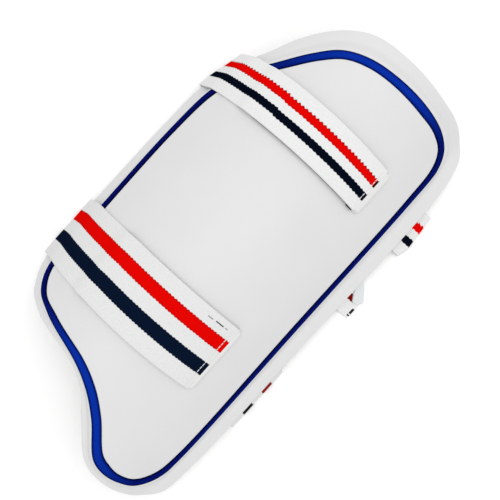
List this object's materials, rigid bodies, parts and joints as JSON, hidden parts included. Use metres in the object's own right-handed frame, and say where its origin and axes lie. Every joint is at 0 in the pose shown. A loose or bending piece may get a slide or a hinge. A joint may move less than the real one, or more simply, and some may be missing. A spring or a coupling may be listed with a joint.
{
  "type": "cricket thigh pad",
  "caption": "Curved cricket thigh guard: moulded white front with a raised plateau edged by a blue inlaid line, soft padded back, striped elastic straps round the leg closed on the front.",
  "frame": {"origin": "middle of the underside of the whole pad as it lies, on the surface that the straps rest on", "axes": "+X towards the straight side where the straps are sewn on, +Y towards the hip end, +Z out of the front"},
  "size_m": [0.2338, 0.4066, 0.0807],
  "materials": {
    "moulded_facing": "smooth matte facing on moulded foam",
    "back_cover": "plain soft cover on thin padding",
    "blue_inlay": "satin blue",
    "striped_elastic": "woven white elastic with a red and a navy stripe",
    "hook_tape": "plain white woven tape",
    "loop_patch": "brushed white loop"
  },
  "bodies": {
    "root": {"front_shell": "moulded_facing", "back_pad": "back_cover", "blue_line": "blue_inlay", "upper_strap": "striped_elastic", "upper_hook_tape": "hook_tape", "upper_loop_patch": "loop_patch", "lower_strap": "striped_elastic", "lower_hook_tape": "hook_tape", "lower_loop_patch": "loop_patch", "edge_tab": "striped_elastic"}
  },
  "joints": []
}
